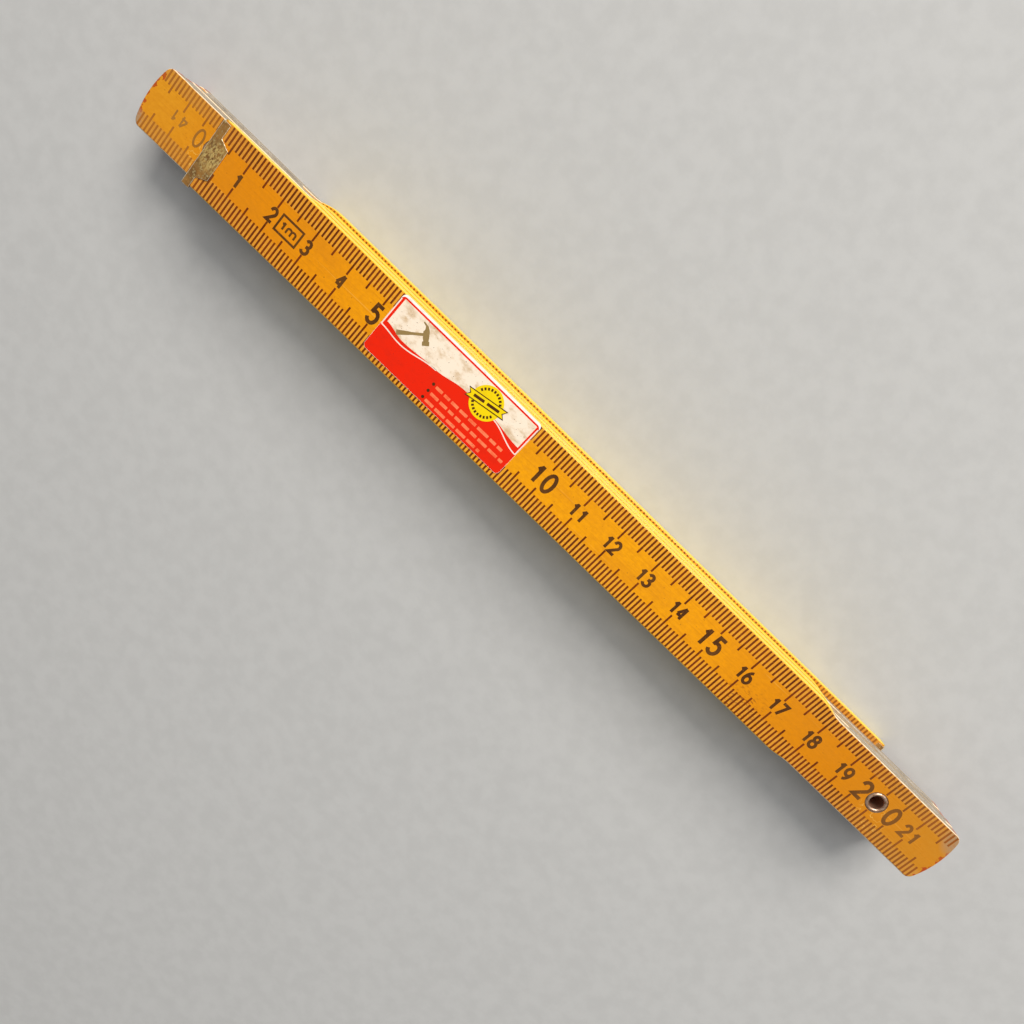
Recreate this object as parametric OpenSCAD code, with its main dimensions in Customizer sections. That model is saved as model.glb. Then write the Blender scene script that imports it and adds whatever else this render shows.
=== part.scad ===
// Wooden folding metre rule: five lacquered blades on four hollow-rivet joints, lying folded.
//
// +X runs along the folded rule, +Y across it and +Z up through the stack. The origin is under the
// middle of the stack, on the surface that it lies on. Blade 1 is on top and carries the scale's
// zero, at -X. Joint 1, between blades 1 and 2, is at +X, and the joints then take turns at the
// two ends, so that the zero lies above joint 2.

/* [Scale] */
// Length of scale on one blade, which is the distance between two joints
pivot_pitch = 200; // [160:10:240]
// Length of blade past the joint
overhang = 19; // [17:0.5:24]

/* [Blades] */
// Width of a blade away from its joints
blade_w = 16; // [15:0.1:19]
// Thickness of a blade
blade_t = 3; // [2.6:0.1:3.6]
// Gap between two folded blades
blade_gap = 0.3; // [0.25:0.05:0.5]
// Width of a blade at a joint
joint_w = 14.6; // [13.6:0.1:15]
// How far the narrow zone runs from the joint towards the middle of the blade
narrow_run = 18.5; // [17:0.5:24]
// Length of the curved step between the narrow zone and the full width
step_run = 6; // [3:0.5:12]
// How far the middle of a blade's round end stands out past its corners
end_bulge = 1.2; // [0.8:0.1:2.5]
// Radius of a blade's corners
corner_r = 1.8; // [0.8:0.1:2.4]

/* [Joint plates] */
// Thickness of the spring-steel plates
plate_t = 0.5; // [0.4:0.05:0.7]
// How far a plate stands out of its blade
plate_proud = 0.1; // [0.05:0.01:0.12]
// Length of a plate
plate_l = 32; // [26:1:34]
// Depth of the prongs that hold a plate in the wood
prong_depth = 1.1; // [0.8:0.1:1.2]
// Distance of the detents from the joint's axis
detent_radius = 5.2; // [4.6:0.1:6]

/* [Hollow rivets] */
// Inner radius of the rivet
rivet_bore_r = 1.5; // [1.2:0.05:1.7]
// Outer radius of the rivet's shank
rivet_shank_r = 1.95; // [1.9:0.05:2.1]
// Radius of the flange under the lower blade
flange_r = 3.05; // [2.8:0.05:3.6]
// Thickness of the flange
flange_t = 0.35; // [0.3:0.05:0.5]
// Height of the rolled rim above the upper blade
rim_proud = 0.2; // [0.1:0.02:0.22]
// Radial clearance of the shank in the blade and plate that turn on it
running_clearance = 0.04; // [0.02:0.01:0.08]

/* [End caps] */
// Thickness of the caps' sheet steel
cap_t = 0.45; // [0.35:0.05:0.5]
// Width of the band across the end of the blade
band_l = 2.2; // [1.6:0.1:3]
// Reach of the tab, from the end of the scale
tab_l = 4.8; // [4.2:0.1:6.5]
// Width of the tab at its root
tab_root_w = 9.6; // [8:0.1:11]
// Width of the tab at its tip
tab_tip_w = 7.2; // [5:0.1:8]
// Height of the zero-end cap above the top of the rule
zero_cap_proud = 0.25; // [0:0.05:0.3]

/* [Label] */
// Length of the label
label_l = 40; // [30:1:50]
// Width of the label
label_w = 14.5; // [12:0.1:15]
// Thickness of the label
label_t = 0.12; // [0.1:0.01:0.2]
// Distance from the scale's zero to the label
label_start = 52; // [45:1:80]
// Radius of the label's corners
label_corner_r = 1; // [0.6:0.1:2]

/* [Hidden] */
$fn = 96;
BLADES = 5;
JOINTS = BLADES - 1;

// Folded blades never lie quite true: each one's centre line, from blade 1 to blade 5
BLADE_Y = [-0.1, 0.1, -0.3, -0.1, 0.5];
// The narrow zones are milled from the joints, so they share less of that play
NARROW_SHIFT = -0.15;
NARROW_SHARE = 0.4;

STEP_POINTS = 8;     // points along each curved step of the outline
END_POINTS = 12;     // points along each round end
CORNER_POINTS = 4;   // points round each corner
CUT = 1;             // how far a cutter runs past the surface that it opens

blade_pitch = blade_t + blade_gap;
half_l = pivot_pitch / 2;
rim_overlap = 0.4;
rim_r = (rivet_shank_r - rivet_bore_r + rim_overlap) / 2;
rim_outer_r = rivet_bore_r + 2 * rim_r;
rim_sink = rim_r - rim_proud;
rim_gap = 0.05;
stack_t = 2 * blade_t + blade_gap;

prong_l = 1.6;
prong_t = 0.5;
prong_x = 12;
prong_y = 4.6;
plate_corner_r = 2;
bump_r = 0.8;
bump_h = 0.07;
detent_hole_r = 1;
detent_turn = 45;

cap_wall_w = 15.9;
cap_shift = -0.45;   // the caps sit a little to the -Y side of their blades
tab_shift = -0.7;

function blade_z(b) = (BLADES - b) * blade_pitch;
function blade_top(b) = blade_z(b) + blade_t;
function joint_x(j) = (j % 2 == 1) ? half_l : -half_l;
function blade_y(b) = BLADE_Y[b - 1];
function narrow_y(b) = NARROW_SHARE * blade_y(b) + NARROW_SHIFT;
function has_joint(b, side) = (b > 1 && joint_x(b - 1) * side > 0) || (b < BLADES && joint_x(b) * side > 0);

// 0 in the narrow zone, 1 at full width, with a smooth step between them
function widening(b, x) =
    let (
        side = x < 0 ? -1 : 1,
        run = half_l - narrow_run - abs(x),
        t = min(1, max(0, run / step_run))
    ) has_joint(b, side) ? (1 - cos(180 * t)) / 2 : 1;

// The long edge of blade b at x, on the +Y side (edge 1) or the -Y side (edge -1)
function edge_y(b, x, edge) =
    let (
        w = widening(b, x),
        centre = narrow_y(b) + (blade_y(b) - narrow_y(b)) * w,
        half = joint_w / 2 + (blade_w - joint_w) / 2 * w
    ) centre + edge * half;

// Where the curved steps of the outline have their points, from -X to +X
function step_xs(b, side) =
    has_joint(b, side) ? [for (i = [0:STEP_POINTS]) half_l - narrow_run - step_run * i / STEP_POINTS] : [];

// A round end on the +X side, from the -Y corner to the +Y one
function round_end(b) =
    let (
        half = joint_w / 2,
        x_tip = half_l + overhang,
        end_r = (half * half + end_bulge * end_bulge) / (2 * end_bulge),
        reach = asin((half - corner_r) / (end_r - corner_r)),
        corner_x = x_tip - end_r + (end_r - corner_r) * cos(reach)
    ) concat(
        [for (i = [0:CORNER_POINTS - 1]) let (a = -90 + (90 - reach) * i / CORNER_POINTS)
            [corner_x + corner_r * cos(a), narrow_y(b) - half + corner_r + corner_r * sin(a)]],
        [for (i = [0:END_POINTS]) let (a = -reach + 2 * reach * i / END_POINTS)
            [x_tip - end_r + end_r * cos(a), narrow_y(b) + end_r * sin(a)]],
        [for (i = [CORNER_POINTS - 1:-1:0]) let (a = 90 - (90 - reach) * i / CORNER_POINTS)
            [corner_x + corner_r * cos(a), narrow_y(b) + half - corner_r + corner_r * sin(a)]]
    );

// A square end of the scale on the +X side, which leaves room for the cap's wall
function square_end(b) = [
    [half_l - cap_t, blade_y(b) - blade_w / 2],
    [half_l - cap_t, blade_y(b) + blade_w / 2]
];

function end_points(b, side) = has_joint(b, side) ? round_end(b) : square_end(b);

// The outline of blade b, from its -X end along the -Y edge and back along the +Y edge
function blade_outline(b) =
    let (left = end_points(b, -1), right = end_points(b, 1), last = len(left) - 1,
         near = step_xs(b, -1), far = step_xs(b, 1))
    concat(
        [for (x = near) [-x, edge_y(b, -x, -1)]],
        [for (i = [len(far) - 1:-1:0]) [far[i], edge_y(b, far[i], -1)]],
        right,
        [for (x = far) [x, edge_y(b, x, 1)]],
        [for (i = [len(near) - 1:-1:0]) [-near[i], edge_y(b, -near[i], 1)]],
        [for (i = [0:last]) [-left[last - i].x, left[last - i].y]]
    );

// Flat shapes

module rounded_rectangle(l, w, r) {
    square([l - 2 * r, w], center = true);
    square([l, w - 2 * r], center = true);
    for (sx = [-1, 1], sy = [-1, 1])
        translate([sx * (l / 2 - r), sy * (w / 2 - r)]) circle(r);
}

// The prongs of one plate, pointing up from z = 0
module prongs(depth) {
    for (sx = [-1, 1], sy = [-1, 1])
        translate([sx * prong_x - prong_l / 2, sy * prong_y - prong_t / 2, 0]) cube([prong_l, prong_t, depth]);
}

// A joint plate's sheet with its prongs, lying on z = 0 with the prongs up
module plate_blank(b, grow = 0) {
    translate([0, narrow_y(b), -grow])
        linear_extrude(plate_t + grow) rounded_rectangle(plate_l, joint_w, plate_corner_r);
    translate([0, narrow_y(b), plate_t - prong_t / 2]) prongs(prong_depth + prong_t / 2);
}

// The plate let into the underside of blade b at joint j
module under_plate_blank(b, j, grow = 0) {
    translate([joint_x(j), 0, blade_z(b) - plate_proud]) plate_blank(b, grow);
}

// The plate let into the top of blade b at joint j
module over_plate_blank(b, j, grow = 0) {
    translate([joint_x(j), 0, blade_top(b) + plate_proud]) mirror([0, 0, 1]) plate_blank(b, grow);
}

// One side of a cap: the band across the blade and its tab, from the scale's end towards +X
module cap_leaf() {
    root = tab_root_w / 2;
    tip = tab_tip_w / 2;
    linear_extrude(cap_t) {
        translate([0, cap_shift - cap_wall_w / 2]) square([band_l, cap_wall_w]);
        translate([0, tab_shift])
            polygon([[0, -root], [band_l, -root], [tab_l, -tip], [tab_l, tip], [band_l, root], [0, root]]);
    }
}

// A cap over a blade's square end, in the blade's own height, with its wall at x = 0 to cap_t
module cap(proud) {
    cap_leaf();
    translate([0, 0, blade_t + proud - cap_t]) cap_leaf();
    translate([0, cap_shift - cap_wall_w / 2, 0]) cube([cap_t, cap_wall_w, blade_t + proud]);
}

module zero_cap_solid() {
    translate([-half_l, blade_y(1), blade_z(1)]) cap(zero_cap_proud);
}

module far_cap_solid() {
    translate([half_l, blade_y(BLADES), blade_z(BLADES)]) mirror([1, 0, 0]) cap(0);
}

// Blades

module blade(b) {
    color([0.91, 0.62, 0.08])
    difference() {
        translate([0, 0, blade_z(b)]) linear_extrude(blade_t) polygon(blade_outline(b));
        if (b < BLADES) upper_joint_cuts(b, b);
        if (b > 1) lower_joint_cuts(b, b - 1);
        if (b == 1) zero_cap_solid();
        if (b == BLADES) far_cap_solid();
    }
}

// What joint j takes out of blade b, the upper blade of the two, which turns on the rivet
module upper_joint_cuts(b, j) {
    under_plate_blank(b, j, CUT);
    translate([joint_x(j), 0, blade_z(b) - CUT])
        cylinder(r = rivet_shank_r + running_clearance, h = blade_t + 2 * CUT);
    translate([joint_x(j), 0, blade_top(b) - rim_sink - rim_gap])
        cylinder(r = rim_outer_r + 2 * rim_gap, h = CUT);
}

// What joint j takes out of blade b, the lower blade of the two, which holds the rivet
module lower_joint_cuts(b, j) {
    over_plate_blank(b, j, CUT);
    translate([joint_x(j), 0, blade_z(b) - CUT]) cylinder(r = rivet_shank_r, h = blade_t + 2 * CUT);
    translate([joint_x(j), 0, blade_z(b) - CUT]) cylinder(r = flange_r, h = CUT + flange_t);
}

// Joints

// The hollow rivet of joint j: a flange below, a plain shank, and a rim rolled over at the top
module hollow_rivet(j) {
    color([0.78, 0.76, 0.74])
    translate([joint_x(j), 0, blade_z(j + 1)])
    rotate_extrude() {
        translate([rivet_bore_r, 0]) square([rivet_shank_r - rivet_bore_r, stack_t - rim_sink]);
        translate([rivet_bore_r, 0]) square([flange_r - rivet_bore_r, flange_t]);
        translate([rivet_bore_r + rim_r, stack_t - rim_sink])
            intersection() {
                circle(rim_r);
                translate([-rim_r, 0]) square([2 * rim_r, rim_r]);
            }
    }
}

// The plate under the upper blade, with a hole for each detent
module spring_plate(j) {
    color([0.62, 0.61, 0.58])
    difference() {
        under_plate_blank(j, j);
        translate([joint_x(j), 0, blade_z(j) - CUT])
            cylinder(r = rivet_shank_r + running_clearance, h = blade_t);
        translate([joint_x(j), 0, blade_z(j) - CUT]) detents() cylinder(r = detent_hole_r, h = CUT + plate_t);
    }
}

// The plate on the lower blade, with a low round bump for each detent
module detent_plate(j) {
    b = j + 1;
    face = blade_top(b) + plate_proud;
    dome_r = (bump_r * bump_r + bump_h * bump_h) / (2 * bump_h);
    color([0.58, 0.57, 0.54])
    difference() {
        union() {
            over_plate_blank(b, j);
            translate([joint_x(j), 0, face]) detents()
                intersection() {
                    translate([0, 0, bump_h - dome_r]) sphere(dome_r);
                    translate([0, 0, -plate_t / 2]) cylinder(r = bump_r, h = plate_t);
                }
        }
        translate([joint_x(j), 0, blade_z(b)]) cylinder(r = rivet_shank_r, h = blade_t + CUT);
    }
}

// A quarter turn between one detent and the next
module detents() {
    for (i = [0:3]) rotate(detent_turn + 90 * i) translate([detent_radius, 0, 0]) children();
}

// Fittings

module zero_end_cap() {
    color([0.55, 0.47, 0.33]) zero_cap_solid();
}

module far_end_cap() {
    color([0.55, 0.47, 0.33]) far_cap_solid();
}

module label() {
    color([0.93, 0.2, 0.08])
    translate([
        -half_l + label_start + label_l / 2,
        blade_y(1) + (blade_w - label_w) / 2,
        blade_top(1)
    ])
        linear_extrude(label_t) rounded_rectangle(label_l, label_w, label_corner_r);
}

for (b = [1:BLADES]) blade(b);
for (j = [1:JOINTS]) {
    hollow_rivet(j);
    spring_plate(j);
    detent_plate(j);
}
zero_end_cap();
far_end_cap();
label();
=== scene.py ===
"""The looks of the wooden folding rule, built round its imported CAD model.

Lengths are in mm, in the CAD's frame, until MeshMaker writes a piece in metres.
"""

import math

import bpy
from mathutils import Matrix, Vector, noise
from mathutils.geometry import tessellate_polygon


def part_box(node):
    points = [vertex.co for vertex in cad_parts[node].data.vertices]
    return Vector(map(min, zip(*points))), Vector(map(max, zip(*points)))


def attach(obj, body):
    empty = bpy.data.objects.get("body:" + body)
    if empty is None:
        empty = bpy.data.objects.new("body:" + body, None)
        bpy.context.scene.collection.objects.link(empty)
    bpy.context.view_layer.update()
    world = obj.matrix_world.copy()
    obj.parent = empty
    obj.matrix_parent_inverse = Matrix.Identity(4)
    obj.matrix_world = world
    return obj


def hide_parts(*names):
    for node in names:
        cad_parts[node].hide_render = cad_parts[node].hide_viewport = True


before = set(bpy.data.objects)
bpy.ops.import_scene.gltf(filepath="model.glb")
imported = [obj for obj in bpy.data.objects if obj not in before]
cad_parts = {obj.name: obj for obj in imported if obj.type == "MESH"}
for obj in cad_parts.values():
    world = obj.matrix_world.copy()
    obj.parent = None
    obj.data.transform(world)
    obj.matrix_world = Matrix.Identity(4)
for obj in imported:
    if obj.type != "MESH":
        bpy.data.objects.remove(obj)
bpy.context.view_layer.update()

MM = 0.001
BLADES = 5
JOINTS = BLADES - 1

# The blades' outline, which repeats part.scad
NARROW_RUN = 18.5
STEP_RUN = 6
END_BULGE = 1.2
CORNER_R = 1.8
RIM_SEAT_R = 2.45
RIM_SEAT_DEPTH = 0.27
SHANK_R = 1.97
FLANGE_SEAT_R = 3.07
FLANGE_T = 0.35

# The mesh of the wood
STATION = 1.5
EDGE_R = 0.35
EDGE_ANGLES = (0, 22.5, 45, 67.5, 90)
NICK = 0.03
PLATE_SHOWS = 0.03
BORE_POINTS = 48

# Where the raw wood of the milled sides begins, the red paint of the round ends, and the red
# that frays over the end of a face
RAW_FROM = 78.4
RAW_ALL = 80.2
RED_FROM = 116.6
RED_ALL = 117.6
FRAY_FROM = 118.35
FRAY_ALL = 118.6

# Wear on the top faces, at (x, y) from midway between the joints
STAIN = (64, -6)
RUBBED_CORNER = (118.4, 6.2)
CRACKS = (101.5, -3.2)

# The print. Above the numerals (1) and below them (-1), the lines at 1, 5, 10 and 50 mm differ
# in length.
INK_T = 0.02
INK_SINK = 0.04
LAYER_T = 0.003
TICK_HALF_W = 0.22
TICK_LENGTHS = {1: (3.9, 5.25, 6.05, 5.25), -1: (4.15, 5.5, 6.25, 5.5)}
BANNER_NOTCH = 0.8

# The scale: what it leaves free at a cap, at a hidden joint and at a round end, and how far it
# runs on past an open joint
CAP_CLEAR = 3
JOINT_HIDES = 17
END_CLEAR = 1.6
PAST_JOINT = 18
LAST_NUMBER = 21
MARK_AT = 24.83

# The end caps
CAP_T = 0.45
CAP_PROUD = 0.03
CAP_BEND_R = 0.55
BAND_L = 2.2
TAB_L = 4.8
TAB_ROOT = 4.9
TAB_TIP = 3.75
TAB_SHIFT = 0.25
DENT = 0.05


def box_mm(node):
    low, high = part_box(node)
    return low / MM, high / MM


def smooth_step(t):
    t = min(1, max(0, t))
    return (1 - math.cos(math.pi * t)) / 2


class Blade:
    """Where one blade lies, read from the frame, in mm."""

    def __init__(self, number):
        low, high = box_mm(f"blade_{number}")
        plate = f"spring_plate_{number}" if number < BLADES else f"detent_plate_{number - 1}"
        plate_low, plate_high = box_mm(plate)
        self.number = number
        self.body = f"blade_{number}"
        self.bottom = low.z
        self.top = high.z
        self.ends = {-1: low.x, 1: high.x}
        self.y = (low.y + high.y) / 2
        self.half_w = (high.y - low.y) / 2
        self.narrow_y = (plate_low.y + plate_high.y) / 2
        self.narrow_half = (plate_high.y - plate_low.y) / 2 - PLATE_SHOWS
        self.joints = {}
        for joint in (number - 1, number):
            if 1 <= joint <= JOINTS:
                x = joint_x(joint)
                self.joints[1 if x > 0 else -1] = joint

    def widening(self, x):
        """0 in the narrow zone at a joint, 1 at full width."""
        side = -1 if x < 0 else 1
        if side not in self.joints:
            return 1
        return smooth_step((PITCH / 2 - NARROW_RUN - abs(x)) / STEP_RUN)

    def edge_y(self, x, edge):
        """The long edge at x, on the +Y side (edge 1) or the -Y side (edge -1)."""
        share = self.widening(x)
        centre = self.narrow_y + (self.y - self.narrow_y) * share
        half = self.narrow_half + (self.half_w - self.narrow_half) * share
        wear = noise.noise(Vector((x * 0.4, self.number * 7.3, edge * 3.1)))
        return centre + edge * (half - NICK * (1 + wear))


def joint_x(joint):
    low, high = box_mm(f"hollow_rivet_{joint}")
    return (low.x + high.x) / 2


PITCH = abs(joint_x(1) - joint_x(2))
blades = {number: Blade(number) for number in range(1, BLADES + 1)}


# Mesh making


class MeshMaker:
    """Collects the points and faces of one piece, in mm."""

    def __init__(self):
        self.points = []
        self.faces = []
        self.smooth = []

    def add(self, points):
        start = len(self.points)
        self.points.extend(Vector(point) for point in points)
        return list(range(start, len(self.points)))

    def face(self, corners, smooth=False):
        self.faces.append(corners)
        self.smooth.append(smooth)

    def bridge(self, first, second, smooth=True, closed=True):
        """A band of quads between two rings of the same number of points."""
        count = len(first)
        for i in range(count if closed else count - 1):
            j = (i + 1) % count
            self.face([first[i], first[j], second[j], second[i]], smooth)

    def fill(self, rings, up):
        """A flat face inside the first ring, with the other rings as holes."""
        flat = [index for ring in rings for index in ring]
        outlines = [[self.points[index] for index in ring] for ring in rings]
        for corners in tessellate_polygon(outlines):
            a, b, c = (flat[corner] for corner in corners)
            across = (self.points[b] - self.points[a]).cross(self.points[c] - self.points[a])
            if across.length > 1e-9:
                self.face([a, b, c] if (across.z > 0) == up else [a, c, b])

    def bar(self, sections):
        """A closed bar through sections of the same number of points."""
        rings = [self.add(section) for section in sections]
        for first, second in zip(rings, rings[1:]):
            self.bridge(first, second, smooth=False)
        self.face(rings[0][::-1])
        self.face(rings[-1])

    def slab(self, outline, low, high):
        """A closed slab with an anticlockwise outline, between two heights."""
        under = self.add([(x, y, low) for x, y in outline])
        over = self.add([(x, y, high) for x, y in outline])
        self.bridge(under, over, smooth=False)
        self.fill([under], up=False)
        self.fill([over], up=True)

    def piece(self, name, material, body, weighted=False):
        mesh = bpy.data.meshes.new(name)
        mesh.from_pydata([point * MM for point in self.points], [], self.faces)
        mesh.polygons.foreach_set("use_smooth", self.smooth)
        mesh.materials.append(material)
        mesh.update()
        made = bpy.data.objects.new(name, mesh)
        bpy.context.scene.collection.objects.link(made)
        if weighted:
            normals = made.modifiers.new("weighted normals", "WEIGHTED_NORMAL")
            normals.keep_sharp = True
        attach(made, body)
        return made


def arc(centre, radius, start, end, count):
    """Points on an arc or, with two radii, on an ellipse; angles in degrees."""
    radii = radius if isinstance(radius, tuple) else (radius, radius)
    angles = [math.radians(start + (end - start) * i / count) for i in range(count + 1)]
    return [(centre[0] + radii[0] * math.cos(a), centre[1] + radii[1] * math.sin(a)) for a in angles]


def inset(outline, distance):
    """The outline moved inwards by distance, corner by corner."""
    moved = []
    count = len(outline)
    for i, here in enumerate(outline):
        before = Vector(here) - Vector(outline[i - 1])
        after = Vector(outline[(i + 1) % count]) - Vector(here)
        first = Vector((-before.y, before.x)).normalized()
        second = Vector((-after.y, after.x)).normalized()
        middle = (first + second).normalized()
        moved.append(tuple(Vector(here) + middle * (distance / max(0.4, middle.dot(first)))))
    return moved


# Wood


def blade_end(blade, side):
    """The +X end's outline from the -Y corner to the +Y one, for whichever side is asked."""
    tip = abs(blade.ends[side])
    if side not in blade.joints:
        return [(tip, blade.edge_y(side * tip, -1)), (tip, blade.edge_y(side * tip, 1))]
    half = blade.narrow_half
    end_r = (half * half + END_BULGE * END_BULGE) / (2 * END_BULGE)
    reach = math.degrees(math.asin((half - CORNER_R) / (end_r - CORNER_R)))
    corner_x = tip - end_r + (end_r - CORNER_R) * math.cos(math.radians(reach))
    y = blade.narrow_y
    near = arc((corner_x, y - half + CORNER_R), CORNER_R, -90, -reach, 5)
    round_end = arc((tip - end_r, y), end_r, -reach, reach, 16)
    far = arc((corner_x, y + half - CORNER_R), CORNER_R, reach, 90, 5)
    return near + round_end[1:-1] + far


def blade_outline(blade):
    """The outline, anticlockwise from the -Y corner of the -X end."""
    right = blade_end(blade, 1)
    left = [(-x, y) for x, y in reversed(blade_end(blade, -1))]
    start, end = left[-1][0] + STATION / 2, right[0][0] - STATION / 2
    count = round((end - start) / STATION)
    xs = [start + (end - start) * i / count for i in range(count + 1)]
    near = [(x, blade.edge_y(x, -1)) for x in xs]
    far = [(x, blade.edge_y(x, 1)) for x in reversed(xs)]
    return near + right + far + left


def bore_steps(blade, side):
    """The (radius, height) steps of a joint's bore, from the blade's top down."""
    if blade.joints[side] == blade.number:
        seat = blade.top - RIM_SEAT_DEPTH
        return [(RIM_SEAT_R, blade.top), (RIM_SEAT_R, seat), (SHANK_R, seat), (SHANK_R, blade.bottom)]
    seat = blade.bottom + FLANGE_T
    return [(SHANK_R, blade.top), (SHANK_R, seat), (FLANGE_SEAT_R, seat), (FLANGE_SEAT_R, blade.bottom)]


def blade_wood(blade):
    """The wood of one blade: rounded long edges and the bores of its joints."""
    mesh = MeshMaker()
    outline = blade_outline(blade)
    rings = []
    for angle in EDGE_ANGLES:
        lift = EDGE_R * (1 - math.sin(math.radians(90 - angle)))
        rings.append((EDGE_R * (1 - math.sin(math.radians(angle))), lift))
    levels = [(distance, blade.bottom + lift) for distance, lift in rings]
    levels += [(distance, blade.top - lift) for distance, lift in reversed(rings)]
    loops = []
    for distance, z in levels:
        loops.append(mesh.add([(x, y, z) for x, y in inset(outline, distance)]))
    for lower, upper in zip(loops, loops[1:]):
        mesh.bridge(lower, upper)
    tops, bottoms = [loops[-1]], [loops[0]]
    for side, joint in blade.joints.items():
        circles = []
        for radius, z in bore_steps(blade, side):
            points = arc((joint_x(joint), 0), radius, 0, 360, BORE_POINTS)[:-1]
            circles.append(mesh.add([(x, y, z) for x, y in points]))
        for upper, lower in zip(circles, circles[1:]):
            mesh.bridge(upper, lower, smooth=False)
        tops.append(circles[0])
        bottoms.append(circles[-1])
    mesh.fill(tops, up=True)
    mesh.fill(bottoms, up=False)
    wood = mesh.piece(f"wood_{blade.number}", lacquered_wood(blade), blade.body, True)
    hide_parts(f"blade_{blade.number}")


# Print


def glyph(character):
    """The centre lines of a numeral or letter in a 1 x 1 box, as (points, closed)."""
    ring = arc((0.5, 0.5), (0.5, 0.5), 0, 360, 28)[:-1]
    lower = arc((0.5, 0.31), (0.5, 0.31), 0, 360, 24)[:-1]
    if character == "0":
        return [(ring, True)]
    if character == "1":
        return [([(1, 1), (1, 0)], False), ([(0, 0.68), (1, 0.93)], False)]
    if character == "2":
        bow = arc((0.5, 0.71), (0.47, 0.29), 175, -28, 12)
        return [(bow + [(0, 0), (1, 0)], False)]
    if character == "3":
        upper = arc((0.47, 0.76), (0.43, 0.24), 160, -90, 10) + [(0.3, 0.52)]
        return [(upper, False), (arc((0.45, 0.27), (0.53, 0.27), 100, -160, 12), False)]
    if character == "4":
        strokes = ([(0.76, 0), (0.76, 1)], [(0.72, 1), (0, 0.3)], [(-0.04, 0.26), (1, 0.26)])
        return [(points, False) for points in strokes]
    if character == "5":
        bow = arc((0.46, 0.33), (0.52, 0.33), 138, -155, 14)
        return [([(0.92, 1), (0.18, 1), (0.1, 0.5)], False), (bow, False)]
    if character == "6":
        return [(lower, True), (arc((0.75, 0.31), (0.75, 0.69), 180, 98, 8), False)]
    if character == "7":
        return [([(0, 1), (1, 1), (0.3, 0)], False)]
    if character == "8":
        upper = arc((0.5, 0.77), (0.42, 0.23), 0, 360, 20)[:-1]
        return [(arc((0.5, 0.27), (0.5, 0.27), 0, 360, 22)[:-1], True), (upper, True)]
    if character == "9":
        turned = [(1 - x, 1 - y) for x, y in lower]
        tail = [(1 - x, 1 - y) for x, y in arc((0.75, 0.31), (0.75, 0.69), 180, 98, 8)]
        return [(turned, True), (tail, False)]
    arch = arc((0.25, 0.72), (0.25, 0.28), 180, 0, 6)
    second = arc((0.75, 0.72), (0.25, 0.28), 180, 0, 6)
    return [([(0, 0)] + arch + [(0.5, 0)], False), (second + [(1, 0)], False)]  # m


def ribbon_sides(points, closed, half):
    """The left and right edges of a ribbon along points."""
    sides = ([], [])
    last = len(points) - 1
    for i, point in enumerate(points):
        here = Vector(point)
        before = here - Vector(points[i - 1]) if closed or i > 0 else Vector(points[i + 1]) - here
        after = Vector(points[(i + 1) % (last + 1)]) - here if closed or i < last else before
        first = Vector((-before.y, before.x)).normalized()
        second = Vector((-after.y, after.x)).normalized()
        middle = (first + second).normalized()
        offset = middle * (half / max(0.45, middle.dot(first)))
        sides[0].append(here + offset)
        sides[1].append(here - offset)
    return sides


class Face:
    """One printed face of a blade. The scale is read along u, across v and up from the wood h."""

    def __init__(self, blade, under):
        self.blade = blade
        self.under = under
        self.design = BLADES + 1 - blade.number if under else blade.number
        self.along = -1 if self.design % 2 == 0 else 1
        self.zero = -self.along * PITCH / 2

    def place(self, u, v, h):
        if self.under:
            return (-u, v, self.blade.bottom - h)
        return (u, v, self.blade.top + h)

    def edge(self, u, edge):
        return self.blade.edge_y(-u if self.under else u, edge)

    def reach(self, u):
        """How far the blade reaches towards the end that u is nearer."""
        side = -1 if (u > 0) == self.under else 1
        return abs(self.blade.ends[side])

    def stations(self):
        """Every millimetre of scale that this face has room for."""
        first = CAP_CLEAR if self.design == 1 else JOINT_HIDES
        last = PITCH - CAP_CLEAR if self.design == BLADES else PITCH + PAST_JOINT
        return range(first, round(last) + 1)


def tick(mesh, face, u, edge, length):
    """A line of the scale, from the edge inwards. The milled edge at a joint cuts its outer end off."""
    inner = face.blade.y + edge * (face.blade.half_w - length)
    outer = face.edge(u, edge) - edge * EDGE_R * 0.7
    sections = []
    for v in (inner, outer):
        section = []
        for du, h in ((-1, INK_T), (1, INK_T), (1, -INK_SINK), (-1, -INK_SINK)):
            section.append(face.place(u + du * TICK_HALF_W, v, h))
        sections.append(section if edge > 0 else section[::-1])
    mesh.bar(sections)


def scale_ticks(face, material):
    """Both rows of millimetre lines of one face."""
    mesh = MeshMaker()
    for place in face.stations():
        u = face.zero + face.along * place
        kind = 3 if place % 50 == 0 else 2 if place % 10 == 0 else 1 if place % 5 == 0 else 0
        for edge in (1, -1):
            if abs(u) < face.reach(u) - END_CLEAR:
                tick(mesh, face, u, edge, TICK_LENGTHS[edge * face.along][kind])
    side = "under" if face.under else "top"
    mesh.piece(f"ticks_{side}_{face.blade.number}", material, face.blade.body)


def stroke(mesh, face, points, closed, half, centre, layer=0):
    """One stroke of ink: a ribbon whose points are read from centre, in the scale's direction."""
    left, right = ribbon_sides(points, closed, half)
    over = INK_T + layer * LAYER_T
    sections = []
    for a, b in zip(left, right):
        section = []
        for point, h in ((a, over), (b, over), (b, -INK_SINK), (a, -INK_SINK)):
            u = centre[0] + face.along * point.x
            section.append(face.place(u, centre[1] + face.along * point.y, h))
        sections.append(section)
    if closed:
        rings = [mesh.add(section) for section in sections]
        for first, second in zip(rings, rings[1:] + rings[:1]):
            mesh.bridge(first, second, smooth=False)
    else:
        mesh.bar(sections)


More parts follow.
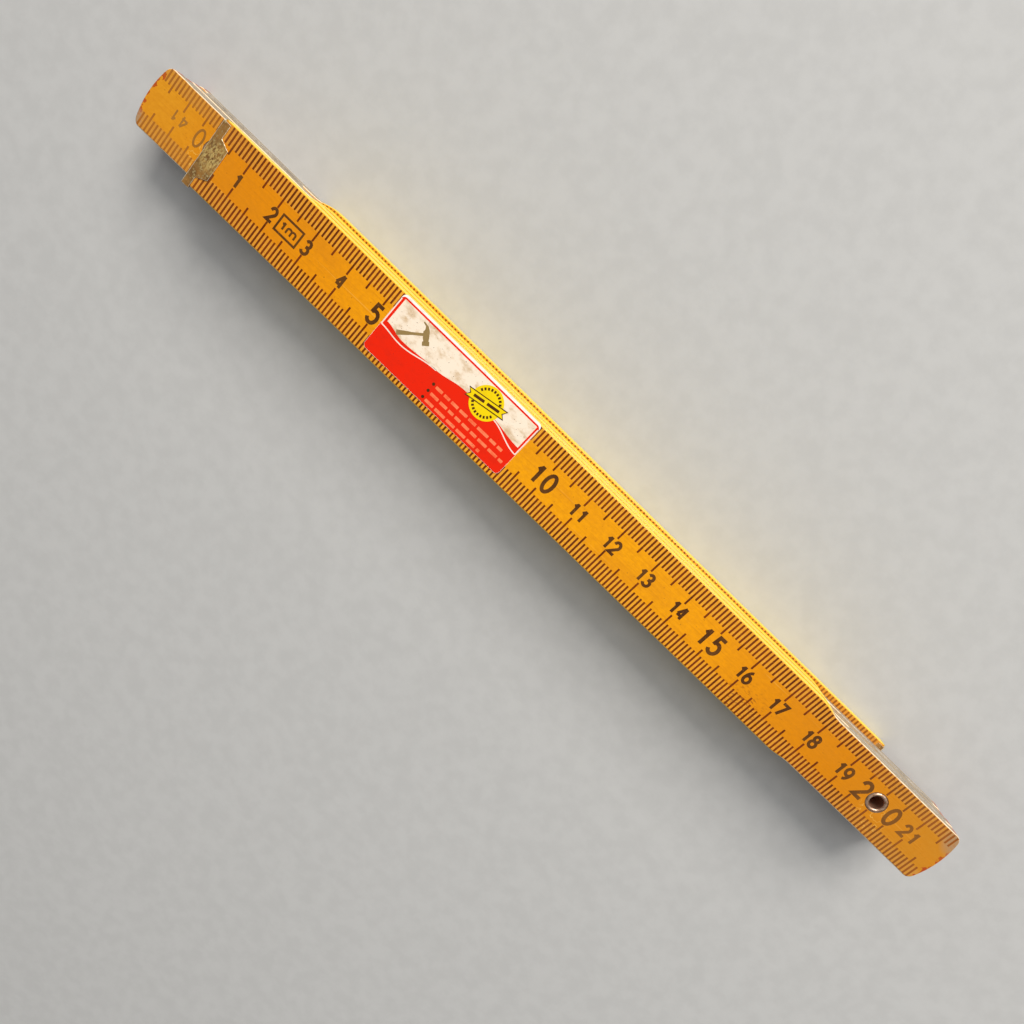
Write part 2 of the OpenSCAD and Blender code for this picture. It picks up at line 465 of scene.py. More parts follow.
def numeral(mesh, face, character, box, line, centre):
    """A character with its ink inside box, which is (left, bottom, width, height)."""
    left, bottom, width, height = box
    half = line / 2
    for layer, (points, closed) in enumerate(glyph(character)):
        placed = []
        for x, y in points:
            placed.append((left + half + x * (width - line), bottom + half + y * (height - line)))
        stroke(mesh, face, placed, closed, half, centre, layer)


class Numerals:
    """The sizes of one kind of numeral, and where a line's number stands beside the line."""

    def __init__(self, wide, one, height, line, start, gap, tight):
        self.wide = wide
        self.one = one
        self.height = height
        self.line = line
        self.start = start
        self.gap = gap
        self.tight = tight

    def boxes(self, text):
        """The left side and width of each numeral of text."""
        widths = [self.one if character == "1" else self.wide for character in text]
        if len(text) == 1:
            return [(-widths[0] * (0.69 if text == "1" else 0.53), widths[0])]
        second = self.start + (0.5 if text[1] == "1" else 0)
        gap = self.gap if text[0] == "1" else self.tight
        return [(self.start - gap - widths[0], widths[0]), (second, widths[1])]


BOLD = {
    "normal": Numerals(2.15, 1.27, height=3.6, line=0.68, start=0.05, gap=0.5, tight=0.15),
    "big": Numerals(2.95, 1.6, height=5.0, line=0.84, start=-0.05, gap=1.2, tight=0.9),
    "split": [(-5.5, 3.0), (3.1, 3.0)],
}
THIN = {
    "normal": Numerals(1.9, 0.95, height=2.8, line=0.42, start=0.05, gap=0.35, tight=0.35),
    "big": Numerals(2.4, 1.3, height=4.4, line=0.52, start=0, gap=0.9, tight=0.9),
    "split": [(-5.3, 2.4), (2.9, 2.4)],
}


def scale_numbers(face, material):
    """The numerals of one face; a joint's rivet stands between the two of a full blade length."""
    style = BOLD if face.design == 1 else THIN
    mesh = MeshMaker()
    stations = face.stations()
    for centimetre in range(1, LAST_NUMBER + 1):
        place = centimetre * 10
        if place not in stations or place - 2 not in stations:
            continue
        text = str(round(PITCH / 10) * (face.design - 1) + centimetre)
        size = style["big" if centimetre % 5 == 0 else "normal"]
        boxes = style["split"] if place == round(PITCH) else size.boxes(text)
        centre = (face.zero + face.along * place, face.blade.y + 0.1)
        for character, (left, width) in zip(text, boxes):
            box = (left, -size.height / 2, width, size.height)
            numeral(mesh, face, character, box, size.line, centre)
    if face.design == 1:
        whole_length_mark(mesh, face)
    side = "under" if face.under else "top"
    mesh.piece(f"numbers_{side}_{face.blade.number}", material, face.blade.body)


def whole_length_mark(mesh, face):
    """The boxed 1m beside the 2, which says how long the whole rule is."""
    centre = (face.zero + MARK_AT, face.blade.y + 0.05)
    half_l, half_h, line = 2.92, 1.85, 0.48
    frame_line = [(-half_l, -half_h), (half_l, -half_h), (half_l, half_h), (-half_l, half_h)]
    stroke(mesh, face, frame_line, True, line / 2, centre)
    numeral(mesh, face, "1", (-2.2, -1.05, 1.0, 2.1), 0.48, centre)
    numeral(mesh, face, "m", (-0.65, -1.05, 2.7, 1.75), 0.46, centre)


# Materials


def srgb(red, green, blue):
    """A colour given as it looks on screen, 0 to 255, as linear RGBA."""
    def linear(value):
        value /= 255
        return value / 12.92 if value <= 0.04045 else ((value + 0.055) / 1.055) ** 2.4
    return (linear(red), linear(green), linear(blue), 1)


class Paint:
    """One material's nodes, with short ways to add to them. Lengths are in mm."""

    def __init__(self, name, **settings):
        self.material = bpy.data.materials.new(name)
        self.material.use_nodes = True
        self.tree = self.material.node_tree
        self.shader = self.tree.nodes["Principled BSDF"]
        for socket, value in settings.items():
            self.shader.inputs[socket.replace("_", " ")].default_value = value
        place = self.node("ShaderNodeTexCoord").outputs["Object"]
        self.place = self.vector("MULTIPLY", place, (1 / MM,) * 3)
        split = self.node("ShaderNodeSeparateXYZ")
        self.put(split.inputs[0], self.place)
        self.x, self.y = split.outputs[:2]
        normal = self.node("ShaderNodeSeparateXYZ")
        self.put(normal.inputs[0], self.node("ShaderNodeNewGeometry").outputs["Normal"])
        self.facing_up = self.math("ABSOLUTE", normal.outputs[2])

    def node(self, kind, **settings):
        made = self.tree.nodes.new(kind)
        for name, value in settings.items():
            setattr(made, name, value)
        return made

    def put(self, socket, value):
        if isinstance(value, bpy.types.NodeSocket):
            self.tree.links.new(value, socket)
        else:
            socket.default_value = value

    def vector(self, operation, a, b):
        made = self.node("ShaderNodeVectorMath", operation=operation)
        self.put(made.inputs[0], a)
        self.put(made.inputs[1], b)
        return made.outputs[0]

    def math(self, operation, a, b=0.0):
        made = self.node("ShaderNodeMath", operation=operation)
        self.put(made.inputs[0], a)
        self.put(made.inputs[1], b)
        return made.outputs[0]

    def band(self, value, low, high, start=0.0, end=1.0):
        """A smooth rise from start to end while value goes from low to high."""
        made = self.node("ShaderNodeMapRange", interpolation_type="SMOOTHSTEP")
        for socket, setting in zip(made.inputs, (value, low, high, start, end)):
            self.put(socket, setting)
        return made.outputs[0]

    def between(self, value, low, full, fading, high):
        """A rise from low to full and a fall from fading to high."""
        return self.both(self.band(value, low, full), self.band(value, fading, high, 1.0, 0.0))

    def near(self, point, inner, outer):
        """1 within inner of a point, falling to 0 at outer."""
        made = self.node("ShaderNodeVectorMath", operation="DISTANCE")
        self.put(made.inputs[0], self.place)
        made.inputs[1].default_value = point
        return self.band(made.outputs["Value"], inner, outer, 1.0, 0.0)

    def both(self, a, b):
        return self.math("MULTIPLY", a, b)

    def noise(self, size, stretch=(1, 1, 1), detail=4.0, seed=0.0, rough=0.55):
        """Noise whose features are about size across, longer along an axis by its stretch."""
        scaled = self.vector("MULTIPLY", self.place, tuple(1 / (size * s) for s in stretch))
        made = self.node("ShaderNodeTexNoise")
        self.put(made.inputs["Vector"], self.vector("ADD", scaled, (seed, seed * 0.7, seed * 1.3)))
        made.inputs["Scale"].default_value = 1
        made.inputs["Detail"].default_value = detail
        made.inputs["Roughness"].default_value = rough
        return made.outputs[0]

    def mix(self, share, under, over):
        made = self.node("ShaderNodeMix", data_type="RGBA")
        self.put(made.inputs[0], share)
        self.put(made.inputs[6], under)
        self.put(made.inputs[7], over)
        return made.outputs[2]

    def finish(self, colour, rough, height, depth, metal=None):
        """Joins up the shader: colour, roughness, and a bump of depth mm from height."""
        self.put(self.shader.inputs["Base Color"], colour)
        self.put(self.shader.inputs["Roughness"], rough)
        if metal is not None:
            self.put(self.shader.inputs["Metallic"], metal)
        bump = self.node("ShaderNodeBump")
        bump.inputs["Distance"].default_value = depth * MM
        self.put(bump.inputs["Height"], height)
        self.put(self.shader.inputs["Normal"], bump.outputs[0])
        return self.material


def lacquered_wood(blade):
    """Yellow lacquer with its grain and dirt, painted shade towards the ends of the faces, painted
    light on the sides and a painted highlight along the milled edges, and raw wood where the joints'
    sides were milled.
    """
    paint = Paint(f"lacquered_wood_{blade.number}", Specular_IOR_Level=0.1, Coat_Weight=0.35,
                  Coat_Roughness=0.14)
    seed = blade.number * 3.7
    grain = paint.noise(0.32, (40, 1, 1), 5.0, seed)
    broad = paint.noise(7, (3, 1, 1), 3.0, seed)
    fine = paint.noise(0.5, (2.5, 1, 1), 3.0, seed)
    reach = paint.math("ABSOLUTE", paint.x)
    across = paint.math("ABSOLUTE", paint.math("SUBTRACT", paint.y, blade.y))
    bulge = paint.math("MULTIPLY", paint.both(across, across), END_BULGE / (blade.narrow_half ** 2))
    tip = paint.math("ADD", reach, bulge)

    bare = milled_sides(paint, blade, fine)
    side = side_colour(paint, bare, tip, grain, fine)
    top = face_colour(paint, reach, across, grain, broad, fine)
    patches = paint.noise(1.6, (1, 1, 1), 3.0, seed + 2)
    frayed = paint.math("ADD", tip, paint.band(patches, 0.32, 0.68, -0.8, 0.8))
    top = paint.mix(paint.both(paint.band(frayed, FRAY_FROM, FRAY_ALL), 0.85), top, srgb(166, 44, 24))

    # The sides take their paler painted-light colour and the flat faces take the lacquer's own colour.
    flat = paint.band(paint.facing_up, 0.55, 0.9)
    colour = paint.mix(flat, side, top)
    # Painted highlight, partly rubbed wood: a cream line along the rounded edges of the milled sides.
    rim = paint.between(paint.facing_up, 0.12, 0.35, 0.75, 0.97)
    rubbed_edge_and_highlight = paint.both(rim, paint.both(bare, paint.band(fine, 0.25, 0.5)))
    colour = paint.mix(rubbed_edge_and_highlight, colour, srgb(238, 222, 190))
    colour = wood_wear(paint, blade, colour, flat, fine, seed)

    rough = paint.band(broad, 0.3, 0.7, 0.34, 0.46)
    upright = paint.band(flat, 0, 1, 1.0, 0.0)
    rough = paint.math("ADD", rough, paint.both(paint.both(bare, upright), 0.35))
    height = paint.math("ADD", paint.both(grain, 0.7), paint.both(fine, 0.3))
    return paint.finish(colour, rough, height, 0.05)


def face_colour(paint, reach, across, grain, broad, fine):
    """The lacquer of the printed faces, duller and darker to the ends and along the edges; the
    darkening to the ends is partly dirt and partly painted shade, standing in for the light falling off
    towards the ends.
    """
    # Painted shade, partly dirt: the faces darken from the middle towards both ends, more at +X, for
    # the light falling off there, and turn browner past 88 mm.
    top = paint.mix(paint.band(reach, 25, 88), srgb(246, 164, 1), srgb(234, 146, 1))
    top = paint.mix(paint.band(paint.x, -50, -100), top, srgb(222, 134, 2))
    top = paint.mix(paint.band(paint.x, 40, 100), top, srgb(214, 130, 2))
    top = paint.mix(paint.band(paint.x, 88, 117), top, srgb(200, 132, 32))
    top = paint.mix(paint.band(paint.x, -88, -117), top, srgb(220, 148, 28))
    top = paint.mix(paint.both(paint.band(grain, 0.5, 0.75), 0.3), top, srgb(196, 118, 4))
    top = paint.mix(paint.both(paint.band(broad, 0.42, 0.75), 0.5), top, srgb(214, 132, 14))
    haze = paint.both(paint.band(across, 3.9, 4.5), paint.band(fine, 0.2, 0.7, 0.4, 0.9))
    dull = paint.mix(paint.band(reach, 60, 112), srgb(236, 168, 56), srgb(200, 142, 66))
    return paint.mix(paint.both(haze, 0.8), top, dull)


def milled_sides(paint, blade, fine):
    """1 where a joint's sides are milled, with a ragged border, and 0 elsewhere."""
    bare = 0.0
    for direction in blade.joints:
        onward = paint.math("MULTIPLY", paint.x, float(direction))
        ragged = paint.math("ADD", onward, paint.band(fine, 0.2, 0.8, -0.6, 0.6))
        bare = paint.math("MAXIMUM", bare, paint.band(ragged, RAW_FROM, RAW_ALL))
    return bare


def side_colour(paint, bare, tip, grain, fine):
    """The blades' sides: yellow lacquer painted paler and more lemon than the faces as painted light
    from the side, raw wood where it is milled off, and red round ends.
    """
    # Painted light: the sides' lacquer is paler and more lemon than the faces', standing in for the
    # strong light on the sides.
    side = paint.mix(paint.band(fine, 0.3, 0.8), srgb(250, 222, 60), srgb(244, 200, 70))
    raw = paint.mix(paint.band(grain, 0.35, 0.7), srgb(180, 162, 134), srgb(140, 122, 98))
    side = paint.mix(bare, side, raw)
    red_end = paint.both(paint.band(tip, RED_FROM, RED_ALL), paint.band(fine, 0.3, 0.42))
    return paint.mix(paint.both(red_end, 0.85), side, srgb(186, 44, 22))


def wood_wear(paint, blade, colour, flat, fine, seed):
    """Specks, hairline scratches, a stain, rubbed ends and cracked lacquer round the rivets."""
    specks = paint.both(paint.band(paint.noise(0.55, (1, 1, 1), 2.0, seed + 5), 0.7, 0.76), flat)
    colour = paint.mix(paint.both(specks, 0.6), colour, srgb(112, 66, 20))
    mottle = paint.band(paint.noise(0.9, (1.5, 1, 1), 4.0, seed + 14, 0.7), 0.35, 0.65, 0.0, 0.28)
    colour = paint.mix(paint.both(mottle, flat), colour, srgb(196, 120, 10))
    scratches = paint.band(paint.noise(0.5, (60, 1, 1), 2.0, seed + 11), 0.68, 0.74)
    colour = paint.mix(paint.both(paint.both(scratches, flat), 0.2), colour, srgb(255, 206, 104))
    if blade.number == 1:
        stain = paint.both(paint.near((*STAIN, blade.top), 1.5, 8), paint.band(fine, 0.52, 0.66))
        colour = paint.mix(paint.both(paint.both(stain, flat), 0.7), colour, srgb(126, 62, 18))
    patch_r = 4.8 if blade.number == 1 else 2.6
    for direction in blade.joints:
        corner_x, corner_y = RUBBED_CORNER
        corner = (direction * corner_x, blade.y + direction * corner_y, blade.top)
        rubbed = paint.near(corner, patch_r * 0.4, patch_r)
        rubbed = paint.both(rubbed, paint.band(fine, 0.3, 0.5, 0.6, 1.0))
        colour = paint.mix(paint.both(rubbed, flat), colour, srgb(172, 134, 94))
        rivet = (direction * CRACKS[0], CRACKS[1], blade.top)
        veins = paint.math("SUBTRACT", paint.noise(2.2, (1, 1, 1), 2.0, seed + 8), 0.5)
        veins = paint.math("ABSOLUTE", veins)
        cracks = paint.both(paint.near(rivet, 2.4, 5.0), paint.band(veins, 0.004, 0.018, 1.0, 0.0))
        colour = paint.mix(paint.both(paint.both(cracks, flat), 0.6), colour, srgb(244, 196, 96))
    return colour


def scale_ink(name, dark, pale, wear):
    """Printed ink, thin in places and paler at the joints, so that the lacquer shows through it."""
    paint = Paint(name, Specular_IOR_Level=0.1, Coat_Weight=0.3, Coat_Roughness=0.16)
    patches = paint.noise(0.45, (1, 1, 1), 3.0, 2.0)
    broad = paint.noise(6, (1, 1, 1), 2.0, 8.0)
    colour = paint.mix(paint.band(broad, 0.35, 0.65), dark, pale)
    thin = paint.band(patches, 0.6, 0.74)
    colour = paint.mix(paint.both(thin, wear), colour, srgb(206, 128, 30))
    handled = paint.band(paint.math("ABSOLUTE", paint.x), 84, 112, 0.0, 0.32)
    colour = paint.mix(handled, colour, srgb(190, 124, 52))
    return paint.finish(colour, paint.band(patches, 0.3, 0.7, 0.36, 0.5), patches, 0.01)


def worn_steel(name, dark, middle, bright, size, metal, rubbed_at=None):
    """Tarnished sheet steel: mottled, scratched and rubbed bright in spots, with a painted highlight,
    partly rubbed metal, along its edges and bends.
    """
    paint = Paint(name, Specular_IOR_Level=0.5)
    mottle = paint.noise(size, (1.6, 1, 1), 5.0, 4.0, 0.65)
    spots = paint.noise(size * 0.3, (1, 1, 1), 3.0, 9.0)
    scratches = paint.noise(0.12, (1, 16, 1), 3.0, 6.0)
    colour = paint.mix(paint.band(mottle, 0.36, 0.64), dark, middle)
    colour = paint.mix(paint.both(paint.band(spots, 0.52, 0.74), 0.8), colour, bright)
    colour = paint.mix(paint.both(paint.band(scratches, 0.58, 0.75), 0.4), colour, bright)
    # Painted highlight, partly rubbed metal: the bends and bevelled edges turn a bright cream.
    bend = paint.between(paint.facing_up, 0.3, 0.6, 0.85, 0.98)
    bend = paint.both(bend, paint.band(spots, 0.35, 0.55, 0.3, 0.9))
    colour = paint.mix(bend, colour, srgb(250, 238, 204))
    if rubbed_at:
        chips = paint.band(paint.noise(0.45, (1, 2.2, 1), 4.0, 12.0, 0.7), 0.42, 0.58)
        rubbed = paint.both(paint.near(rubbed_at, 1.4, 4.6), chips)
        colour = paint.mix(paint.both(rubbed, 0.85), colour, srgb(230, 198, 120))
    rough = paint.band(mottle, 0.3, 0.7, 0.5, 0.32)
    height = paint.math("ADD", paint.both(mottle, 0.8), paint.both(scratches, 0.2))
    metallic = paint.band(spots, 0.3, 0.7, metal - 0.15, metal + 0.15)
    return paint.finish(colour, rough, height, 0.04, metallic)


def rivet_steel():
    """Plated steel rubbed to a warm tone on the rim, and dark inside the bore."""
    paint = Paint("worn_rivet_steel", Specular_IOR_Level=0.5)
    mottle = paint.noise(0.7, (1, 1, 1), 4.0, 3.0, 0.6)
    colour = paint.mix(paint.band(mottle, 0.35, 0.65), srgb(150, 112, 82), srgb(214, 184, 160))
    inside = paint.node("ShaderNodeVectorMath", operation="LENGTH")
    flat = paint.node("ShaderNodeCombineXYZ")
    offset = paint.math("SUBTRACT", paint.math("ABSOLUTE", paint.x), PITCH / 2)
    paint.put(flat.inputs[0], offset)
    paint.put(flat.inputs[1], paint.y)
    paint.put(inside.inputs[0], flat.outputs[0])
    bore = paint.band(inside.outputs["Value"], 1.5, 1.62, 1.0, 0.0)
    colour = paint.mix(bore, colour, srgb(196, 150, 122))
    return paint.finish(colour, paint.band(mottle, 0.3, 0.7, 0.46, 0.3), mottle, 0.03, 0.8)


def label_paper():
    """Off-white coated paper, dirty along its edges."""
    paint = Paint("label_paper", Specular_IOR_Level=0.3)
    dirt = paint.noise(1.1, (2, 1, 1), 4.0, 7.0)
    fibres = paint.noise(0.2, (1, 1, 1), 3.0, 3.0)
    dirty = paint.both(paint.band(dirt, 0.5, 0.75), 0.5)
    colour = paint.mix(dirty, srgb(252, 248, 240), srgb(196, 164, 120))
    return paint.finish(colour, 0.5, fibres, 0.01)


def label_ink(name, colour, dirt_colour, dirt):
    """A solid printed colour with rubbed spots and grime."""
    paint = Paint(name, Specular_IOR_Level=0.1, Coat_Weight=0.2, Coat_Roughness=0.16)
    grime = paint.noise(2.2, (1.5, 1, 1), 5.0, 5.0, 0.62)
    specks = paint.noise(0.32, (1, 1, 1), 2.0, 1.0)
    shade = paint.mix(paint.both(paint.band(grime, 0.45, 0.72), dirt), colour, dirt_colour)
    spotted = paint.both(paint.band(specks, 0.69, 0.75), min(1.0, dirt * 1.6))
    shade = paint.mix(spotted, shade, srgb(70, 42, 30))
    return paint.finish(shade, paint.band(grime, 0.3, 0.7, 0.38, 0.5), specks, 0.008)


def floor_paint():
    """A pale matt table."""
    paint = Paint("pale_floor", Specular_IOR_Level=0.2)
    grain = paint.noise(4, (1, 1, 1), 4.0, 1.0)
    colour = paint.mix(paint.band(grain, 0.3, 0.7), srgb(186, 185, 182), srgb(191, 190, 187))
    return paint.finish(colour, 0.8, grain, 0.02)


# Label


class Label:
    """Draws flat colours on the label. Places are mm from its -X, +Y corner, y down."""

    def __init__(self):
        low, high = box_mm("label")
        self.left, self.top = low.x, high.y
        self.length, self.width = high.x - low.x, high.y - low.y
        self.surface = high.z

    def slabs(self, name, outlines, material, layer):
        """One piece of ink from outlines, each given clockwise in the label's own directions."""
        mesh = MeshMaker()
        for number, outline in enumerate(outlines):
            over = layer * 0.01 + number * LAYER_T / 10
            placed = [(self.left + x, self.top - y) for x, y in outline]
            area = sum(a[0] * b[1] - b[0] * a[1] for a, b in zip(placed, placed[1:] + placed[:1]))
            mesh.slab(placed if area > 0 else placed[::-1], self.surface - 0.02, self.surface + over)
        mesh.piece(name, material, "blade_1")


def rounded_box(left, top, right, bottom, radius):
    points = arc((right - radius, top + radius), radius, -90, 0, 5)
    points += arc((right - radius, bottom - radius), radius, 0, 90, 5)
    points += arc((left + radius, bottom - radius), radius, 90, 180, 5)
    return points + arc((left + radius, top + radius), radius, 180, 270, 5)


def ribbon_outline(points, half):
    left, right = ribbon_sides(points, False, half)
    return [tuple(p) for p in left] + [tuple(p) for p in reversed(right)]


def wave(start, end, knots):
    """A smooth curve through knots (x, y), sampled from start to end."""
    samples = []
    count = round(end - start) * 2
    for i in range(count + 1):
        x = start + (end - start) * i / count
        for (x0, y0), (x1, y1) in zip(knots, knots[1:]):
            if x0 <= x <= x1:
                samples.append((x, y0 + (y1 - y0) * smooth_step((x - x0) / (x1 - x0))))
                break
    return samples


def label_print(label):
    """A generic label: a cream field over a red one, with a seal, a hammer and bars for text."""
    red = label_ink("label_red", srgb(236, 36, 4), srgb(200, 34, 8), 0.3)
    cream = label_ink("label_cream", srgb(250, 232, 208), srgb(198, 160, 108), 0.75)
    yellow = label_ink("label_yellow", srgb(246, 214, 6), srgb(214, 172, 14), 0.3)
    olive = label_ink("label_olive", srgb(150, 124, 76), srgb(172, 142, 92), 0.5)
    dark = label_ink("label_dark", srgb(76, 40, 16), srgb(120, 70, 20), 0.3)
    pink = label_ink("label_pink", srgb(250, 132, 88), srgb(240, 84, 40), 0.8)
    white = label_ink("label_white", srgb(250, 232, 216), srgb(214, 180, 150), 0.3)
    right, bottom = label.length, label.width
    border = rounded_box(0.04, 0.55, right - 0.04, bottom - 0.04, 0.95)
    label.slabs("label_red", [border], red, 1)
    knots = [(0.9, 7.0), (6, 7.9), (15, 7.3), (23, 6.1), (30, 6.0), (right - 0.75, 7.0)]
    hill = wave(0.9, right - 0.75, knots)
    field = [(0.9, 0.95), (right - 0.75, 0.95)]
    label.slabs("label_cream", [field + hill[::-1]], cream, 2)
    left_line = wave(0.2, 15.5, [(0.2, 8.2), (6, 8.75), (15.5, 7.35)])
    right_line = wave(31, right - 0.2, [(31, 6.3), (right - 0.2, 8.5)])
    lines = [ribbon_outline(left_line, 0.13), ribbon_outline(right_line, 0.13)]
    lines.append(ribbon_outline([(0.2, 1.3), (0.2, 8.2)], 0.12))
    lines.append(ribbon_outline([(right - 0.2, 1.3), (right - 0.2, 8.5)], 0.12))
    label.slabs("label_lines", lines, white, 2)
    seal = (28.0, 4.85)
    label.slabs("label_seal", [arc(seal, 3.85, 0, 360, 48)[:-1]], yellow, 3)
    label.slabs("label_seal_marks", seal_marks(seal, 3.0), dark, 4)
    label.slabs("label_banner_edge", [banner(seal, 5.0, 1.05)], dark, 5)
    label.slabs("label_banner", [banner(seal, 4.7, 0.82)], yellow, 6)
    label.slabs("label_banner_marks", banner_marks(seal), dark, 7)
    label.slabs("label_picture", tool_picture(), olive, 3)
    bars = []
    for y, end in ((9.9, 37.3), (11.7, 39.0), (13.5, 33.8)):
        bars += word_bars(17.8, min(end, right - 1), y)
    label.slabs("label_bars", bars, pink, 2)
    bullets = [arc((17, y), 0.36, 0, 360, 16)[:-1] for y in (9.8, 11.6, 13.4)]
    label.slabs("label_bullets", bullets, dark, 2)


def seal_marks(centre, radius):
    """Two arcs of dashes inside the seal."""
    marks = []
    for start in (205, 25):
        for i in range(9):
            turn = start + 14.5 * i
            marks.append(ribbon_outline(arc(centre, radius, turn, turn + 8.5, 3), 0.3))
    return marks


def on_banner(centre, along, across):
    """A point of the seal's banner, which leans up to the right."""
    lean = math.radians(-9)
    x = along * math.cos(lean) - across * math.sin(lean)
    return (centre[0] + x, centre[1] + along * math.sin(lean) + across * math.cos(lean))


def banner(centre, reach, half):
    """A plain ribbon with notched ends."""
    notch = reach - BANNER_NOTCH
    corners = [(-reach, -half), (reach, -half), (notch, 0), (reach, half), (-reach, half), (-notch, 0)]
    return [on_banner(centre, along, across) for along, across in corners]


def banner_marks(centre):
    """Plain bars in place of a name."""
    bars = []
    for start, end in ((-3.2, -0.5), (0.2, 3.3)):
        corners = ((start, -0.32), (end, -0.32), (end, 0.32), (start, 0.32))
        bars.append([on_banner(centre, along, across) for along, across in corners])
    return bars


def tool_picture():
    """A claw hammer in flat colour, leaning to the right."""
    head = Vector((9.0, 3.35))
    along = Vector((0.79, -0.61))
    across = Vector((0.61, 0.79))

    def outline(spots):
        return [tuple(head + along * a + across * b) for a, b in spots]

    grip = [(-6.6, 0.55), (-4.2, 0.42), (-3.2, 0.3), (0, 0.3)]
    handle = [(a, -b) for a, b in grip] + grip[::-1]
    poll = [(-0.7, 0.7), (-0.55, 1.3), (-0.8, 1.5), (-0.8, 2.3), (0.8, 2.3), (0.8, 1.5), (0.6, 1.3)]
    claw_outside = [(0.7, 0.7), (0.75, -0.7), (0.45, -1.7), (-0.5, -2.7)]
    claw_inside = [(-0.7, -2.5), (-0.15, -1.7), (-0.3, -1.0), (-0.65, -0.7)]
    return [outline(handle), outline(poll + claw_outside + claw_inside)]


def word_bars(start, end, y):
    """A line of bars in place of words."""
    bars = []
    x = start
    while x < end - 0.8:
        length = min(end - x, 1.4 + 4.6 * abs(noise.noise(Vector((x * 1.7, y * 3.1, 2.0)))))
        bars.append(rounded_box(x, y - 0.34, x + length, y + 0.34, 0.12))
        x += length + 0.5
    return bars


# End caps


def end_cap(name, blade, side):
    """A strip of sheet steel bent round a blade's square end, with a tab on both faces."""
    low, high = box_mm(name)
    top = max(high.z, blade.top + CAP_PROUD)
    bottom = min(low.z, blade.bottom - CAP_PROUD)
    y = (low.y + high.y) / 2
    half_band = (high.y - low.y) / 2
    mesh = MeshMaker()
    rows = []
    for reach, z in cap_profile(top, bottom):
        share = max(0, (reach - BAND_L) / (TAB_L - BAND_L))
        half_tab = TAB_ROOT + (TAB_TIP - TAB_ROOT) * share
        tab_y = y - TAB_SHIFT
        columns = (y - half_band, tab_y - half_tab, tab_y, tab_y + half_tab, y + half_band)
        x = PITCH / 2 * side - side * reach
        row = []
        for column in columns:
            dent = DENT * noise.noise(Vector((reach * 0.6, column * 0.5, z)))
            row.append((x, column, z + (dent if z > (top + bottom) / 2 else -dent)))
        rows.append((reach, mesh.add(row)))
    for (first_reach, first), (second_reach, second) in zip(rows, rows[1:]):
        on_band = max(first_reach, second_reach) <= BAND_L + 1e-6
        for i in range(4):
            if i in (1, 2) or on_band:
                corners = [first[i], first[i + 1], second[i + 1], second[i]]
                mesh.face(corners if side < 0 else corners[::-1], True)
    tones = (srgb(124, 86, 42), srgb(176, 126, 62), srgb(236, 212, 148))
    rubbed_at = (side * (PITCH / 2 - 2.9), y + 0.4, top if side < 0 else bottom)
    material = worn_steel("tarnished_" + name, *tones, 1.9, 0.5, rubbed_at)
    cap = mesh.piece(name + "_sheet", material, blade.body)
    drop_loose_points(cap.data)
    sheet = cap.modifiers.new("sheet thickness", "SOLIDIFY")
    sheet.thickness = CAP_T * MM
    sheet.offset = -1
    edge = cap.modifiers.new("rubbed edges", "BEVEL")
    edge.width = 0.1 * MM
    edge.segments = 2
    edge.limit_method = "ANGLE"
    edge.angle_limit = math.radians(50)
    cap.modifiers.new("weighted normals", "WEIGHTED_NORMAL")
    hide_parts(name)


def cap_profile(top, bottom):
    """The outside of the bent sheet as (reach from the scale's end, height), from tab to tab."""
    reaches = (TAB_L, 4.3, 3.8, 3.3, 2.8, BAND_L, 1.6, 1.0)
    r = CAP_BEND_R
    bend = [(r + x, top - r + z) for x, z in arc((0, 0), r, 90, 180, 6)]
    lower_bend = [(r + x, bottom + r + z) for x, z in arc((0, 0), r, 180, 270, 6)]
    upper = [(reach, top) for reach in reaches]
    lower = [(reach, bottom) for reach in reaches[::-1]]
    return upper + bend + lower_bend + lower


def drop_loose_points(mesh):
    """Removes the points that no face uses."""
    used = {index for polygon in mesh.polygons for index in polygon.vertices}
    order = sorted(used)
    renumbered = {old: new for new, old in enumerate(order)}
    points = [mesh.vertices[i].co.copy() for i in order]
    faces = [[renumbered[i] for i in polygon.vertices] for polygon in mesh.polygons]
    smooth = [polygon.use_smooth for polygon in mesh.polygons]
    mesh.clear_geometry()
    mesh.from_pydata(points, [], faces)
    mesh.polygons.foreach_set("use_smooth", smooth)
    mesh.update()


# Scene


def dress_cad_nodes():
    """Materials for the CAD nodes that stay in view."""
    tones = (srgb(168, 158, 144), srgb(206, 196, 182), srgb(232, 224, 212))
    steel = worn_steel("joint_plate_steel", *tones, 2.5, 0.45)
    rivet = rivet_steel()
    for joint in range(1, JOINTS + 1):
        for name in (f"spring_plate_{joint}", f"detent_plate_{joint}"):
            paint_node(name, steel)
        paint_node(f"hollow_rivet_{joint}", rivet)
    paint_node("label", label_paper())


def paint_node(name, material):
    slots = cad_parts[name].data.materials
    slots.clear()
    slots.append(material)


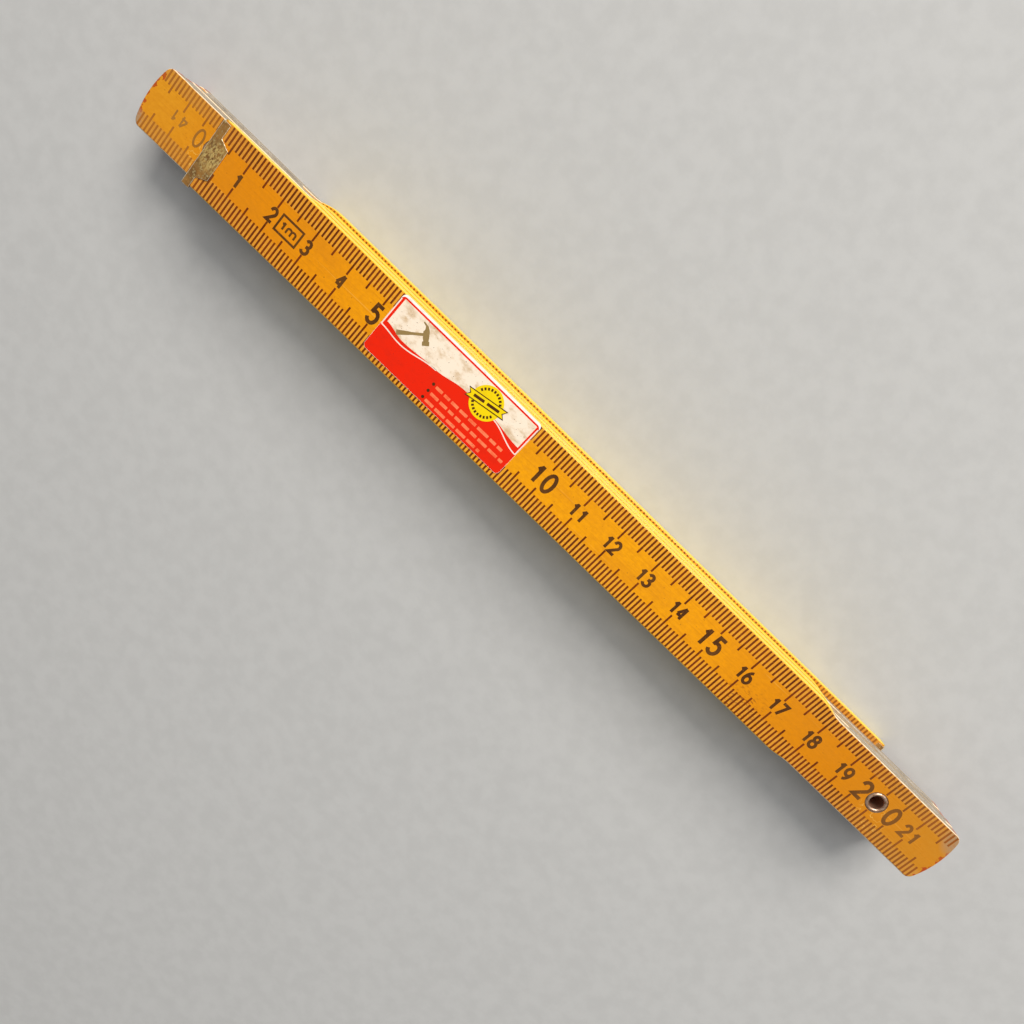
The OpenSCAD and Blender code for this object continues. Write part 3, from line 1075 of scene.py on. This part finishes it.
def build_print():
    """The scale on both faces of every blade."""
    inks = {
        True: (scale_ink("tick_ink", srgb(98, 40, 3), srgb(122, 52, 6), 0.25),
               scale_ink("numeral_ink", srgb(78, 44, 12), srgb(98, 60, 20), 0.3)),
        False: (scale_ink("thin_tick_ink", srgb(138, 76, 14), srgb(156, 94, 24), 0.5),
                scale_ink("thin_numeral_ink", srgb(136, 90, 30), srgb(150, 104, 40), 0.5)),
    }
    for blade in blades.values():
        for under in (False, True):
            face = Face(blade, under)
            tick_ink, numeral_ink = inks[face.design == 1]
            scale_ticks(face, tick_ink)
            scale_numbers(face, numeral_ink)


def build_floor():
    mesh = MeshMaker()
    reach, z = 4000, -0.06
    corners = ((-reach, -reach), (reach, -reach), (reach, reach), (-reach, reach))
    mesh.face(mesh.add([(x, y, z) for x, y in corners]))
    data = bpy.data.meshes.new("floor")
    data.from_pydata([point * MM for point in mesh.points], [], mesh.faces)
    data.materials.append(floor_paint())
    floor = bpy.data.objects.new("floor", data)
    bpy.context.scene.collection.objects.link(floor)


def add_camera():
    """Close above the rule, turned so that the rule runs from upper left to lower right."""
    camera = bpy.data.objects.new("camera", bpy.data.cameras.new("camera"))
    camera.data.lens = 25.14
    camera.data.sensor_width = 36
    camera.data.clip_start = 0.01
    camera.location = Vector((-3, 28, 166.2)) * MM
    camera.rotation_mode = "ZYX"
    camera.rotation_euler = [math.radians(angle) for angle in (-14.25, -1.09, 44.14)]
    bpy.context.scene.collection.objects.link(camera)
    bpy.context.scene.camera = camera


def add_area_light(name, place, size, power, colour):
    light = bpy.data.lights.new(name, "AREA")
    light.size = size * MM
    light.energy = power
    light.color = colour
    lamp = bpy.data.objects.new(name, light)
    lamp.location = Vector(place) * MM
    lamp.rotation_euler = (-Vector(place)).to_track_quat("-Z", "Y").to_euler()
    bpy.context.scene.collection.objects.link(lamp)


def add_lights():
    """A large soft key from the +Y side, a weaker fill above it, and a pale world."""
    add_area_light("key", (90, 1260, 990), 900, 27, (1, 0.97, 0.93))
    add_area_light("fill", (480, 600, 1440), 900, 8, (0.98, 0.99, 1))
    world = bpy.data.worlds.new("soft world")
    world.use_nodes = True
    world.node_tree.nodes["Background"].inputs["Color"].default_value = srgb(236, 238, 242)
    world.node_tree.nodes["Background"].inputs["Strength"].default_value = 0.3
    bpy.context.scene.world = world
    bpy.context.scene.view_settings.view_transform = "Standard"


for blade in blades.values():
    blade_wood(blade)
build_print()
label_print(Label())
end_cap("zero_end_cap", blades[1], -1)
end_cap("far_end_cap", blades[BLADES], 1)
dress_cad_nodes()
build_floor()
add_camera()
add_lights()
